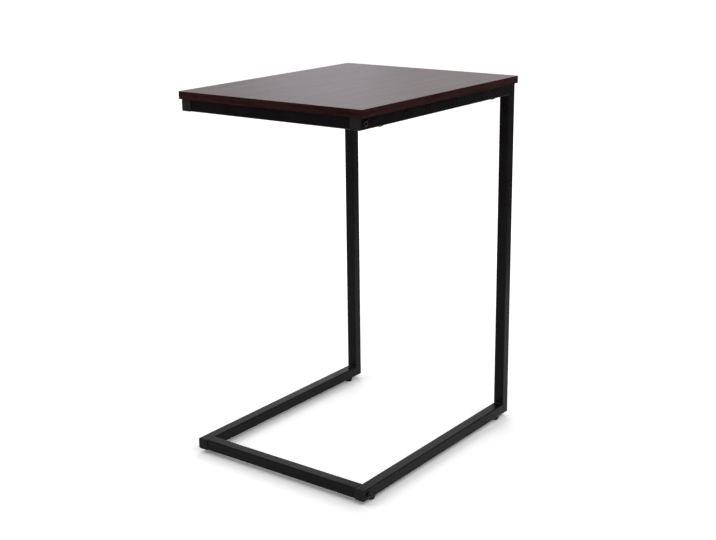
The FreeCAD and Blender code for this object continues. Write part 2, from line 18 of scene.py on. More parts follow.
import bpy
import numpy as np
from bpy.types import ID, Material, Node, NodeSocket, NodeTree, Object, World
from mathutils import Matrix, Vector

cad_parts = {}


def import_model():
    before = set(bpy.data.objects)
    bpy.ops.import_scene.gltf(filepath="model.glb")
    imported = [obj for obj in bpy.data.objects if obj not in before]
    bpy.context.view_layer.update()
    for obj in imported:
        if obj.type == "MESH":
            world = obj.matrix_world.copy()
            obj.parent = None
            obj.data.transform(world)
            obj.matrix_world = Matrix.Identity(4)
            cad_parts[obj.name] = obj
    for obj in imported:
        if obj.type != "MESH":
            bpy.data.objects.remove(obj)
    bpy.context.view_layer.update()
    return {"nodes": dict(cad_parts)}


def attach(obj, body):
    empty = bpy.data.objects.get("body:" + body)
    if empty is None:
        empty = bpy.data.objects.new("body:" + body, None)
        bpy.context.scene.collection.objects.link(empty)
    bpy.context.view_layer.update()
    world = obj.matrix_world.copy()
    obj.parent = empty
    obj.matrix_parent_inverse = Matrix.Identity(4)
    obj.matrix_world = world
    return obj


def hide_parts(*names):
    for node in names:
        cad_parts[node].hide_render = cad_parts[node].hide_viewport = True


LOG = logging.getLogger("side_table")
MM = 0.001
FULL_TURN = 2.0 * math.pi
QUARTER_TURN = math.pi / 2.0
NOISE_RANGE = (0.3, 0.7)    # nearly all of a noise texture's values lie between these
WHITE = (1.0, 1.0, 1.0, 1.0)
TUBE = 20.0                 # side of the frame's square tube
RAIL_X = 176.5              # from the table's middle to the centre line of each side frame


class Named(Enum):
    """A choice whose name is part of the frame's node names."""

    @property
    def word(self) -> str:
        """Give the name as the frame's nodes spell it."""
        return self.name.lower()


class Side(Named):
    """Side of the table along X; the value is its sign."""

    LEFT = -1
    RIGHT = 1


class End(Named):
    """End of a rail along Y; the value is its sign."""

    FRONT = -1
    REAR = 1


class Level(Named):
    """Height of a rail's centre line, in millimetres."""

    TOP = 635.0
    BASE = 18.0


class Ends(Enum):
    """How the two ends of a row of rings are closed."""

    POINTS = "each end ring shrinks to one point"
    FLAT = "each end ring is filled by one flat face"


# ---- surfaces worked out as arrays -------------------------------------------

@dataclass(frozen=True)
class Surface:
    """A closed surface held as arrays.

    Attributes:
        points: One row of x, y, z for each vertex, in millimetres.
        faces: Blocks of faces; each block has one row of vertex numbers for each face.
        unrolled: Place of each vertex on the flat strip it was bent from, or None.
    """

    points: np.ndarray
    faces: tuple[np.ndarray, ...]
    unrolled: np.ndarray | None = None

    def volume(self) -> float:
        """Give the signed volume: the sum of the tetrahedra from the origin to each face.

        Returns:
            Cubic millimetres, below zero where the faces point inwards.
        """
        total = 0.0
        for block in self.faces:
            corners = self.points[block]
            first = np.repeat(corners[:, :1], block.shape[1] - 2, axis=1)
            sixth = np.einsum("fij,fij->", first, np.cross(corners[:, 1:-1], corners[:, 2:]))
            total += float(sixth) / 6.0
        return total

    def facing_out(self) -> "Surface":
        """Give the same surface with its faces turned outwards.

        Returns:
            This surface, or a copy with every face turned round.
        """
        if self.volume() >= 0.0:
            return self
        return Surface(self.points, tuple(block[:, ::-1] for block in self.faces), self.unrolled)

    def placed(self, offset: Sequence[float], turn: np.ndarray | None = None) -> "Surface":
        """Give the surface turned about the origin and then moved.

        Args:
            offset: Move along x, y and z, in millimetres.
            turn: 3 by 3 rotation matrix, or None for no turn.

        Returns:
            A new surface; faces and unrolled places stay as they are.
        """
        points = self.points if turn is None else self.points @ np.asarray(turn).T
        return Surface(points + np.asarray(offset, dtype=float), self.faces, self.unrolled)


def joined(surfaces: Sequence[Surface]) -> Surface:
    """Put separate surfaces into one, each with its vertex numbers after the last one's.

    Args:
        surfaces: Closed surfaces in their final places.

    Returns:
        One surface that holds them all.
    """
    starts = np.cumsum([0] + [len(one.points) for one in surfaces[:-1]])
    blocks = tuple(block + start for one, start in zip(surfaces, starts) for block in one.faces)
    return Surface(np.vstack([one.points for one in surfaces]), blocks)


def ring_surface(rings: np.ndarray, ends: Ends, unrolled: np.ndarray | None = None) -> Surface:
    """Join a row of closed rings by four-sided faces and close both ends.

    Vertex (i, j) is point j of ring i. A face joins (i, j), (i, j+1), (i+1, j+1) and
    (i+1, j), with j+1 counted round the ring, so the ring closes on itself.

    Args:
        rings: Array of ring, point and coordinate; with Ends.POINTS the first and the
            last ring are each one place repeated.
        ends: How the first and the last ring are closed.
        unrolled: Array shaped like rings with the flat strip's coordinates, or None.

    Returns:
        The closed surface with its faces outwards.
    """
    count, around = rings.shape[:2]
    number = np.arange(count * around).reshape(count, around)
    ahead = np.roll(number, -1, axis=1)
    quads = np.stack([number[:-1], ahead[:-1], ahead[1:], number[1:]], axis=-1)
    points = rings.reshape(-1, 3)
    flat = None if unrolled is None else unrolled.reshape(-1, 3)
    if ends is Ends.FLAT:
        blocks = (quads.reshape(-1, 4), number[:1, ::-1], number[-1:])
        return Surface(points, blocks, flat).facing_out()
    first, last = number[0, 0], number[-1, 0]
    start = np.stack([np.full(around, first), ahead[1], number[1]], axis=-1)
    finish = np.stack([np.full(around, last), number[-2], ahead[-2]], axis=-1)
    used = np.r_[first, number[1:-1].ravel(), last]
    renumber = np.zeros(count * around, dtype=int)
    renumber[used] = np.arange(len(used))
    blocks = (renumber[quads[1:-1].reshape(-1, 4)], renumber[start], renumber[finish])
    return Surface(points[used], blocks, None if flat is None else flat[used]).facing_out()


def round_the_axis(count: int) -> np.ndarray:
    """Give this many angles, evenly spaced over a full turn."""
    return np.arange(count) * FULL_TURN / count


def turned(angle: np.ndarray, *runs: Sequence[np.ndarray]) -> Surface:
    """Turn runs of rings round the Z axis, as a lathe does, and close them to a point.

    The point of a ring at angle a is r cos a, r sin a, z, with the ring's radius and height.

    Args:
        angle: Angles of a ring's points.
        *runs: Radius and height of each run's rings: arrays of one row for each ring, with
            one column, or one for each angle. The first and last radius are 0.

    Returns:
        The closed surface.
    """
    cosine, sine = np.cos(angle), np.sin(angle)
    return ring_surface(np.concatenate([
        np.stack(np.broadcast_arrays(radius * cosine, radius * sine, height), axis=-1)
        for radius, height in runs]), Ends.POINTS)


def flats(across: float, count: int, angle: np.ndarray) -> np.ndarray:
    """Give the radius of a regular polygon at each angle, the first flat facing +X.

    The radius is half the size across flats, divided by the cosine of the angle from
    the middle of the nearest flat.

    Args:
        across: Size across two opposite flats, in millimetres.
        count: Number of flats.
        angle: Angles to give the radius at.

    Returns:
        One radius for each angle.
    """
    step = FULL_TURN / count
    return across / 2.0 / np.cos((angle + step / 2.0) % step - step / 2.0)


def quarter(centre: tuple[float, float], radius: float, start: float, steps: int) -> np.ndarray:
    """Give points on a quarter circle, centre plus radius at evenly spaced angles.

    Args:
        centre: Radius and height of the circle's centre, in millimetres.
        radius: Radius of the rounding, in millimetres.
        start: First angle in degrees; the arc ends 90 degrees further on.
        steps: Number of equal steps along it.

    Returns:
        One row of radius and height for each point.
    """
    angle = np.radians(start + np.linspace(0.0, 90.0, steps + 1))
    return np.asarray(centre) + radius * np.stack([np.cos(angle), np.sin(angle)], axis=-1)


def corner_arcs(steps: int) -> tuple[np.ndarray, np.ndarray]:
    """Walk round a rounded rectangle's four corners, counter-clockwise from +X and +Y.

    The directions are cos a, sin a at evenly spaced angles, and each corner starts at
    the angle where the one before it stopped.

    Args:
        steps: Number of equal steps in each corner.

    Returns:
        The signs of x and y at the corner and the outward direction, a row for each point.
    """
    turns = np.linspace(0.0, QUARTER_TURN, steps + 1)
    angle = (np.arange(4)[:, None] * QUARTER_TURN + turns).ravel()
    sign = np.repeat([[1, 1], [-1, 1], [-1, -1], [1, -1]], steps + 1, axis=0)
    return sign, np.stack([np.cos(angle), np.sin(angle)], axis=-1)


# ---- nodes, colours and finishes ---------------------------------------------

def linear_rgb(code: str) -> tuple[float, float, float, float]:
    """Turn an sRGB colour to the linear values that shaders use.

    Each channel up to 0.04045 is divided by 12.92; a higher one has 0.055 added, is
    divided by 1.055 and raised to the power of 2.4.

    Args:
        code: Colour as six hexadecimal digits after a hash sign.

    Returns:
        Linear red, green and blue, and an alpha of 1.
    """
    values = np.array([int(code[place:place + 2], 16) for place in (1, 3, 5)]) / 255.0
    linear = np.where(values <= 0.04045, values / 12.92, ((values + 0.055) / 1.055) ** 2.4)
    return (*(float(value) for value in linear), 1.0)


def per_metre(wavelength_mm: float) -> float:
    """Give the texture scale at which one feature is about this many millimetres wide."""
    return 1.0 / (wavelength_mm * MM)


def add_node(tree: NodeTree, kind: str, inputs: Mapping[str | int, object] | None = None,
             **settings: object) -> Node:
    """Add a node, set it up and link it.

    Args:
        tree: Node tree that the node joins.
        kind: Blender's name for the kind of node.
        inputs: Value, or output socket to link from, for each input by name or number.
        **settings: Properties of the node itself.

    Returns:
        The new node.
    """
    node = tree.nodes.new(kind)
    for name, value in settings.items():
        setattr(node, name, value)
    for key, value in (inputs or {}).items():
        if isinstance(value, NodeSocket):
            tree.links.new(value, node.inputs[key])
        else:
            node.inputs[key].default_value = value
    return node


def empty_tree(owner: Material | World) -> NodeTree:
    """Give the owner's node tree with nothing in it.

    Args:
        owner: Material or world that the nodes belong to.

    Returns:
        The empty node tree.
    """
    owner.use_nodes = True
    owner.node_tree.nodes.clear()
    return owner.node_tree


@dataclass(frozen=True)
class Pattern:
    """What a finish's nodes drive over its surface.

    Attributes:
        layers: Colours laid over the finish's own in turn, each with its share there.
        height: Share of the relief's height there.
        gloss: Noise that moves the roughness, or None where that is even.
    """

    layers: Sequence[tuple[NodeSocket, str]]
    height: NodeSocket
    gloss: NodeSocket | None = None


@dataclass(frozen=True, kw_only=True)
class Finish(ABC):
    """A real material and how its surface was made.

    Attributes:
        name: Name of the material.
        colour: Colour under the pattern's layers.
        roughness: Middle roughness.
        spread: How far the pattern moves the roughness, up and down.
        specular: Specular level; 0.5 is what the IOR gives by itself.
        ior: Index of refraction.
        height_mm: Height of the relief.
        sunk: Whether the relief goes down instead of up.
    """

    name: str
    colour: str
    roughness: float
    spread: float = 0.0
    specular: float = 0.5
    ior: float = 1.5
    height_mm: float
    sunk: bool = False

    @abstractmethod
    def pattern(self, tree: NodeTree) -> Pattern:
        """Add the pattern's nodes and give what they drive."""

    def constants(self) -> Mapping[str, float]:
        """Give the shader's values that are the same all over."""
        return {"Specular IOR Level": self.specular, "IOR": self.ior}

    def material(self) -> Material:
        """Make the material: the pattern moves its colour, roughness and height.

        Returns:
            The new material.
        """
        material = bpy.data.materials.new(self.name)
        tree = empty_tree(material)
        pattern = self.pattern(tree)
        colour = linear_rgb(self.colour)
        for share, over in pattern.layers:
            # A Mix of colours has its share at input 0, the colours at 6 and 7, and its
            # result at output 2.
            colour = add_node(tree, "ShaderNodeMix", {
                0: share, 6: colour, 7: linear_rgb(over)}, data_type="RGBA").outputs[2]
        roughness = self.roughness
        if pattern.gloss is not None:
            low, high = NOISE_RANGE
            roughness = add_node(tree, "ShaderNodeMapRange", {
                "Value": pattern.gloss, "From Min": low, "From Max": high,
                "To Min": self.roughness - self.spread,
                "To Max": self.roughness + self.spread}).outputs["Result"]
        bump = add_node(tree, "ShaderNodeBump", {
            "Height": pattern.height, "Strength": 1.0, "Distance": self.height_mm * MM},
            invert=self.sunk)
        shader = add_node(tree, "ShaderNodeBsdfPrincipled", {
            "Base Color": colour, "Roughness": roughness, "Normal": bump.outputs["Normal"],
            **self.constants()})
        add_node(tree, "ShaderNodeOutputMaterial", {"Surface": shader.outputs["BSDF"]})
        return material


@dataclass(frozen=True, kw_only=True)
class TexturedPowderCoat(Finish):
    """Black polyester powder coat with a fine texture, baked on steel tube.

    It gives a nearly matt black whose relief carries painted shade in its valleys and
    painted light on its crests, and a soft pale sheen where it is seen at a low angle.
    """

    name: str = "black_textured_powder_coat_on_steel"
    colour: str = "#020202"   # painted shade: the colour of the texture's valleys
    # painted light: the colour of the texture's crests
    crest: str = "#1c181b"
    roughness: float = 0.3
    spread: float = 0.05
    specular: float = 0.068
    height_mm: float = 0.02
    grain_mm: float = 1.6     # real grain is about 0.5 mm; drawn coarser so that it shows
    cloud_mm: float = 45.0    # slow change of thickness along a tube
    painted_shade_to_light: tuple[float, float] = (0.35, 0.65)    # grain values of a fully shaded valley and a fully lit crest

    def pattern(self, tree: NodeTree) -> Pattern:
        """Grain moves the height and the colour, as painted shade in the valleys and painted light
        on the crests, and a slow cloud the gloss.

        Args:
            tree: The material's node tree.

        Returns:
            What the nodes drive.
        """
        place = add_node(tree, "ShaderNodeTexCoord").outputs["Object"]
        grain = add_node(tree, "ShaderNodeTexNoise", {
            "Vector": place, "Scale": per_metre(self.grain_mm), "Detail": 3.0,
            "Roughness": 0.6}).outputs["Fac"]
        cloud = add_node(tree, "ShaderNodeTexNoise", {
            "Vector": place, "Scale": per_metre(self.cloud_mm), "Detail": 2.0}).outputs["Fac"]
        # Painted shade and light: the grain that raises the relief also lightens the colour at its
        # crests.
        valley, crest = self.painted_shade_to_light
        share = add_node(tree, "ShaderNodeMapRange", {
            "Value": grain, "From Min": valley, "From Max": crest}).outputs["Result"]
        return Pattern([(share, self.crest)], grain, cloud)


@dataclass(frozen=True, kw_only=True)
class WoodgrainLaminate(Finish):
    """Melamine laminate: printed espresso wood grain under clear resin, pressed satin.

    It gives a dark red-brown with long, faint streaks and short pores, and a smooth
    satin face that mirrors pale surroundings softly at a low angle.
    """

    name: str = "espresso_melamine_laminate_pressed"
    colour: str = "#1f0f11"
    light: str = "#4c2a30"
    pore: str = "#170c0d"
    roughness: float = 0.42
    spread: float = 0.03
    specular: float = 0.26
    height_mm: float = 0.012
    sunk: bool = True
    streak_mm: float = 14.0   # broad bands of the printed grain
    fibre_mm: float = 1.8     # lines within a band; the print's own are about half of that
    pore_mm: float = 0.9      # pores are nearer 0.3 mm wide; drawn wider so that they show
    stretch: float = 22.0     # a streak's length over its width
    tones: tuple[float, float] = (0.75, 1.25)        # streak plus fibre, dark and light
    pore_edge: tuple[float, float] = (0.60, 0.68)    # noise values at a pore's rim and floor
    unrolled: bool = False    # reads the strip's own coordinates instead of the object's

    def pattern(self, tree: NodeTree) -> Pattern:
        """Stretched noise gives streaks, fibres and pores; the pores are sunk.

        Args:
            tree: The material's node tree.

        Returns:
            What the nodes drive.
        """
        if self.unrolled:
            place = add_node(tree, "ShaderNodeAttribute", attribute_name="strip").outputs["Vector"]
            squeeze = (1.0 / self.stretch, 1.0, 1.0)
        else:
            place = add_node(tree, "ShaderNodeTexCoord").outputs["Object"]
            squeeze = (1.0, 1.0 / self.stretch, 1.0)
        along = add_node(tree, "ShaderNodeMapping", {"Vector": place, "Scale": squeeze})
        streak, fibre, pore = (add_node(tree, "ShaderNodeTexNoise", {
            "Vector": along.outputs["Vector"], "Scale": per_metre(width), "Detail": detail,
            "Roughness": 0.55, "Distortion": bend}).outputs["Fac"]
            for width, detail, bend in ((self.streak_mm, 3.0, 0.3), (self.fibre_mm, 4.0, 0.0),
                                        (self.pore_mm, 1.0, 0.0)))
        blend = add_node(tree, "ShaderNodeMath", {0: streak, 1: fibre}, operation="ADD")
        tone, holes = (add_node(tree, "ShaderNodeMapRange", {
            "Value": value, "From Min": low, "From Max": high}).outputs["Result"]
            for value, (low, high) in ((blend.outputs[0], self.tones), (pore, self.pore_edge)))
        return Pattern([(tone, self.light), (holes, self.pore)], holes, fibre)


@dataclass(frozen=True, kw_only=True)
class MouldedPlastic(Finish):
    """Injection-moulded plastic with a fine spark-eroded mould texture.

    It gives an even dark grey, a little lighter than the coat beside it, with a soft
    spread highlight and slow flow marks.
    """

    flow_colour: str
    roughness: float = 0.45
    spread: float = 0.04
    specular: float = 0.4
    ior: float = 1.51
    height_mm: float = 0.012
    grain_mm: float = 0.8     # mould texture, drawn at about twice its real width
    flow_mm: float = 9.0      # slow marks left as the plastic filled the mould

    def pattern(self, tree: NodeTree) -> Pattern:
        """Flow marks move the tone and the gloss, and fine grain the height.

        Args:
            tree: The material's node tree.

        Returns:
            What the nodes drive.
        """
        place = add_node(tree, "ShaderNodeTexCoord").outputs["Object"]
        flow = add_node(tree, "ShaderNodeTexNoise", {
            "Vector": place, "Scale": per_metre(self.flow_mm), "Detail": 2.0,
            "Distortion": 0.6}).outputs["Fac"]
        grain = add_node(tree, "ShaderNodeTexNoise", {
            "Vector": place, "Scale": per_metre(self.grain_mm), "Detail": 2.0}).outputs["Fac"]
        return Pattern([(flow, self.flow_colour)], grain, flow)


@dataclass(frozen=True, kw_only=True)
class PlatedSteel(Finish):
    """Cold-formed steel with an electroplated zinc layer.

    It gives a metal sheen that changes slowly over the part, with fine pits and forming
    marks that soften its highlights.
    """

    stain: str
    spread: float = 0.06
    height_mm: float = 0.006
    cloud_mm: float = 3.5     # uneven passivation colour
    pit_mm: float = 0.5       # forming marks, drawn a little wider than they are

    def pattern(self, tree: NodeTree) -> Pattern:
        """A cloud moves the colour and the gloss, and pits the height.

        Args:
            tree: The material's node tree.

        Returns:
            What the nodes drive.
        """
        place = add_node(tree, "ShaderNodeTexCoord").outputs["Object"]
        cloud, pits = (add_node(tree, "ShaderNodeTexNoise", {
            "Vector": place, "Scale": per_metre(width), "Detail": detail}).outputs["Fac"]
            for width, detail in ((self.cloud_mm, 3.0), (self.pit_mm, 2.0)))
        return Pattern([(cloud, self.stain)], pits, cloud)

    def constants(self) -> Mapping[str, float]:
        """Say that it is metal, which keeps the shader's own IOR."""
        return {"Metallic": 1.0}


@dataclass(frozen=True, kw_only=True)
class PressedChips(Finish):
    """Particle board: wood chips pressed flat with resin, sanded and left raw.

    It gives a pale brown speckle of overlapping flakes, dry and matt.
    """

    name: str = "particle_board_pressed_raw"
    colour: str = "#7d5f41"
    flake: str = "#b18d63"
    roughness: float = 0.85
    specular: float = 0.3
    height_mm: float = 0.1
    chip_mm: float = 2.4

    def pattern(self, tree: NodeTree) -> Pattern:
        """Each cell of a cell pattern is a chip with a random tone of its own.

        Args:
            tree: The material's node tree.

        Returns:
            What the nodes drive.
        """
        place = add_node(tree, "ShaderNodeTexCoord").outputs["Object"]
        chips = add_node(tree, "ShaderNodeTexVoronoi", {
            "Vector": place, "Scale": per_metre(self.chip_mm), "Randomness": 1.0})
        tone = add_node(tree, "ShaderNodeSeparateColor", {"Color": chips.outputs["Color"]})
        return Pattern([(tone.outputs["Red"], self.flake)], chips.outputs["Distance"])


@dataclass(frozen=True)
class Finishes:
    """The materials of the whole table, one for each kind of surface."""

    coat: Material
    weld_coat: Material
    laminate: Material
    edge_strip: Material
    backer: Material
    core: Material
    cap: Material
    pad: Material
    black_zinc: Material
    bright_zinc: Material

    @classmethod
    def made(cls) -> "Finishes":
        """Make every material once.

        Returns:
            The finished set.
        """
        return cls(
            coat=TexturedPowderCoat().material(),
            # The coat flows thicker over a bead and mirrors more there.
            weld_coat=TexturedPowderCoat(
                name="black_powder_coat_over_weld_bead", roughness=0.36, specular=0.2,
                grain_mm=0.9).material(),
            laminate=WoodgrainLaminate().material(),
            edge_strip=WoodgrainLaminate(
                name="espresso_edge_strip_ironed_on", colour="#221110", light="#372120",
                roughness=0.55, specular=0.012, streak_mm=6.0, fibre_mm=1.2,
                unrolled=True).material(),
            # The underside has the same paper without the pressed satin face.
            backer=WoodgrainLaminate(
                name="espresso_balancing_paper_matt", colour="#140b0a", light="#211311",
                roughness=0.62, specular=0.25, streak_mm=20.0).material(),
            core=PressedChips().material(),
            cap=MouldedPlastic(
                name="black_polyethylene_moulded", colour="#1f1f20", flow_colour="#272728",
                roughness=0.53, specular=0.03).material(),
            pad=MouldedPlastic(
                name="black_nylon_moulded", colour="#131313", flow_colour="#1b1b1b",
                roughness=0.5, specular=0.15, ior=1.53).material(),
            black_zinc=PlatedSteel(
                name="black_zinc_plated_steel", colour="#161618", stain="#1e1e21",
                roughness=0.22).material(),
            bright_zinc=PlatedSteel(
                name="bright_zinc_plated_steel", colour="#b4b8bd", stain="#8f959c",
                roughness=0.30).material(),
        )


# ---- the bench: what every sub-assembly uses ---------------------------------

def in_scene(name: str, data: ID) -> Object:
    """Make an object of a mesh, a lamp or a camera and link it, at the origin.

    Args:
        name: Name of the object.
        data: Mesh, lamp or camera that it shows.

    Returns:
        The new object.
    """
    made = bpy.data.objects.new(name, data)
    bpy.context.scene.collection.objects.link(made)
    return made


@dataclass(frozen=True)
class Bench:
    """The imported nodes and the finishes, with the two jobs that every piece needs."""

    nodes: Mapping[str, Object]
    finishes: Finishes

    def dress(self, node: str, material: Material) -> None:
        """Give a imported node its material.

        Args:
            node: Name of the node, whose mesh stays as it is.
            material: What its whole surface is finished in.
        """
        piece = self.nodes[node]
        piece.data.materials.clear()
        piece.data.materials.append(material)
        LOG.info("%s dressed in %s", node, material.name)

    def add(self, name: str, surface: Surface, material: Material, slot: str, body: str,
            *replaced: str, sharp_degrees: float = 32.0) -> Object:
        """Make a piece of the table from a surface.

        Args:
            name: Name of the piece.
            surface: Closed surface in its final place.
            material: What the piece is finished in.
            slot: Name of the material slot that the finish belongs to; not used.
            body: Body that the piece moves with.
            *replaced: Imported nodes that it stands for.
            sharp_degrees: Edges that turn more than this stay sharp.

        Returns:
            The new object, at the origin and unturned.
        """
        mesh = bpy.data.meshes.new(name)
        faces = [row for block in surface.faces for row in block.tolist()]
        mesh.from_pydata((surface.points * MM).tolist(), [], faces)
        mesh.polygons.foreach_set("use_smooth", np.ones(len(mesh.polygons), dtype=bool))
        mesh.set_sharp_from_angle(angle=math.radians(sharp_degrees))
        if surface.unrolled is not None:
            strip = mesh.attributes.new("strip", "FLOAT_VECTOR", "POINT")
            strip.data.foreach_set("vector", (surface.unrolled * MM).ravel())
        mesh.validate()
        mesh.materials.append(material)
        piece = in_scene(name, mesh)
        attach(piece, body)
        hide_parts(*replaced)
        LOG.info("%s made: %d faces for %s", name, len(mesh.polygons), ", ".join(replaced))
        return piece


# ---- the table's sub-assemblies ----------------------------------------------

@dataclass
class Tabletop:
    """Laminated particle board with a strip round its edge."""

    width: float = 385.0
    depth: float = 475.0
    top: float = 658.0
    thickness: float = 13.0
    strip: float = 1.0
    easing: float = 0.6
    seam: float = 0.3
    core_corner: float = 2.5
    easing_steps: int = 5
    corner_steps: int = 10

    def strip_section(self) -> np.ndarray:
        """Give the strip's cross-section: outward distance and height, as a closed ring.

        It is a rectangle whose two outer corners are quarter circles of the easing.

        Returns:
            One row of outward distance and height for each point.
        """
        low, ease = self.top - self.thickness, self.easing
        lower = quarter((self.strip - ease, low + ease), ease, -90.0, self.easing_steps)
        upper = quarter((self.strip - ease, self.top - ease), ease, 0.0, self.easing_steps)
        return np.vstack([[[0.0, low]], lower, upper, [[0.0, self.top]]])

    def edge_strip(self) -> Surface:
        """Carry the section round the core, from the seam at the back to the seam again.

        Outline point i is its corner's centre plus the corner radius along its outward
        direction. Point (i, j) is outline point i plus the section's outward distance j
        along that direction, at the section's height j. The same point's place on the
        flat strip is the length walked so far, the height and the outward distance.

        Returns:
            The strip's closed surface, with its unrolled places.
        """
        sign, outward = corner_arcs(self.corner_steps)
        half = np.array([self.width, self.depth]) / 2.0 - self.strip
        outline = sign * (half - self.core_corner) + self.core_corner * outward
        split = self.corner_steps + 1    # the walk starts after the first corner
        seam, back = np.array([[-self.seam / 2.0, half[1]]]), np.array([[0.0, 1.0]])
        path = np.vstack([seam, outline[split:], outline[:split], seam * [-1.0, 1.0]])
        facing = np.vstack([back, outward[split:], outward[:split], back])
        walked = np.r_[0.0, np.cumsum(np.linalg.norm(np.diff(path, axis=0), axis=1))]
        out, height = np.hsplit(self.strip_section(), 2)
        flat = path[:, None] + facing[:, None] * out
        length, height, out = np.broadcast_arrays(walked[:, None, None], height, out)
        return ring_surface(np.concatenate([flat, height], axis=-1), Ends.FLAT,
                            np.concatenate([length, height, out], axis=-1))

    def build(self, bench: Bench) -> None:
        """Dress the board's sheets and make its edge strip.

        Args:
            bench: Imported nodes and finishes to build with.
        """
        bench.dress("tabletop_core", bench.finishes.core)
        bench.dress("tabletop_backer", bench.finishes.backer)
        bench.dress("tabletop_laminate", bench.finishes.laminate)
        bench.add("board_edge_strip", self.edge_strip(), bench.finishes.edge_strip,
                  "espresso_edge", "table", "tabletop_edge_band")


@dataclass
class EndCap:
    """Moulded cap in the open front end of a rail."""

    side: Side
    level: Level
    tube: float = TUBE
    corner: float = 2.0
    rail_x: float = RAIL_X
    mouth: float = -233.5
    flange: float = 2.0
    easing: float = 0.8
    crown: float = 0.25
    crown_corner: float = 0.3     # corner radius within the face, over half its side there
    stem: float = 16.6
    stem_corner: float = 0.3
    stem_length: float = 6.0
    hollow: float = 14.0
    hollow_corner: float = 0.2
    fin: float = 17.5
    fin_corner: float = 0.8
    fin_thickness: float = 0.7
    fin_bevel: float = 0.15
    fin_starts: tuple[float, ...] = (1.4, 4.0)
    face_rings: int = 6
    steps: int = 5

    def stations(self) -> np.ndarray:
        """Give the moulding's stations: half side, corner radius and depth into the tube.

        They run from the face's centre over the eased edge, along the flange, down the
        stem with its fins, and back up inside the hollow to its floor.

        Returns:
            One row for each station.
        """
        half, face = self.tube / 2.0, -self.flange
        rows = [(0.0, 0.0, face)]
        for share in np.linspace(0.0, 1.0, self.face_rings + 1)[1:-1]:
            reach = (half - self.easing) * share
            rows.append((reach, self.crown_corner * reach, face + self.crown * share ** 2))
        for angle in np.linspace(0.0, QUARTER_TURN, self.steps + 1):
            inset = self.easing * (1.0 - math.sin(angle))
            rows.append((half - inset, self.corner - inset, face + self.crown
                         + (self.easing - self.crown) * (1.0 - math.cos(angle))))
        stem, fin, hollow = ((self.stem / 2.0, self.stem_corner),
                             (self.fin / 2.0, self.fin_corner),
                             (self.hollow / 2.0, self.hollow_corner))
        rows += [(half, self.corner, 0.0), (*stem, 0.0)]
        for start in self.fin_starts:
            stop = start + self.fin_thickness
            rows += [(*stem, start), (*fin, start + self.fin_bevel),
                     (*fin, stop - self.fin_bevel), (*stem, stop)]
        rows += [(*stem, self.stem_length), (*hollow, self.stem_length), (*hollow, 0.0),
                 (0.0, 0.0, 0.0)]
        return np.array(rows)

    def surface(self) -> Surface:
        """Loft rounded squares through the stations.

        Point (i, j) is the centre of its corner's arc plus the arc's radius along
        direction j, which is a rounded square of station i, at that station's depth.

        Returns:
            The cap's closed surface.
        """
        half, radius, depth = self.stations().T[..., None]
        sign, outward = corner_arcs(self.steps)
        x, z = (line * (half - radius) + way * radius for line, way in zip(sign.T, outward.T))
        return ring_surface(np.stack(np.broadcast_arrays(
            self.side.value * self.rail_x + x, self.mouth + depth, self.level.value + z),
            axis=-1), Ends.POINTS)

    def build(self, bench: Bench) -> None:
        """Make the cap in place of its plain node.

        Args:
            bench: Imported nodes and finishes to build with.
        """
        stem = f"{self.side.word}_{self.level.word}"
        bench.add(f"{stem}_moulded_cap", self.surface(), bench.finishes.cap, "cap_plastic",
                  "table", f"{stem}_end_cap")


@dataclass
class SideFrame:
    """One welded side: top rail, upright and base rail, with its beads and end caps."""

    side: Side
    tube: float = TUBE
    rail_x: float = RAIL_X
    upright_front: float = 215.5
    bead_leg: float = 2.4
    bead_length: float = 16.0
    ripple_pitch: float = 1.45
    ripple: float = 0.11
    ripple_bow: float = 0.9
    bead_rings: int = 113
    bead_points: int = 15

    def bead(self, corner_z: float, rise: int) -> Surface:
        """Lay a rippled bead of weld into an inside corner, along X.

        A ring at x is a quarter circle between the two faces and back to their corner.
        Its radius is the leg, shrunk at both ends by the fourth root of one minus the
        fourth power of the share of the half length, and dipped by a wave that repeats
        each ripple pitch and bows forward in the middle of the bead, as the puddle froze.

        Args:
            corner_z: Height of the corner line, in millimetres.
            rise: 1 where the bead lies on top of a rail, -1 where it hangs under one.

        Returns:
            The bead's closed surface.
        """
        share = np.sin(np.linspace(-QUARTER_TURN, QUARTER_TURN, self.bead_rings))[:, None]
        along = share * self.bead_length / 2.0
        angle, middle = np.linspace(0.0, QUARTER_TURN, self.bead_points), QUARTER_TURN / 2.0
        bow = self.ripple_bow * (1.0 - ((angle - middle) / middle) ** 2)
        wave = 0.5 - 0.5 * np.cos(FULL_TURN * (along + bow) / self.ripple_pitch)
        size = self.bead_leg * np.maximum(1.0 - share ** 4, 0.0) ** 0.25
        reach = np.hstack([size * (1.0 - self.ripple * wave), np.zeros_like(size)])
        angle = np.r_[angle, 0.0]    # the last point of a ring is the corner itself
        return ring_surface(np.stack(np.broadcast_arrays(
            self.side.value * self.rail_x + along, self.upright_front - reach * np.cos(angle),
            corner_z + rise * reach * np.sin(angle)), axis=-1), Ends.POINTS)

    def build(self, bench: Bench) -> None:
        """Dress the three tubes, lay the two beads and press the two caps in.

        Args:
            bench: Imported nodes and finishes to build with.
        """
        word = self.side.word
        for tube in ("top_rail", "upright", "base_rail"):
            bench.dress(f"{word}_{tube}", bench.finishes.coat)
        half = self.tube / 2.0
        beads = joined([self.bead(Level.TOP.value - half, -1),
                        self.bead(Level.BASE.value + half, 1)])
        bench.add(f"{word}_weld_beads", beads, bench.finishes.weld_coat, "weld_powder", "table",
                  f"{word}_corner_welds", sharp_degrees=50.0)
        for level in Level:
            EndCap(self.side, level).build(bench)


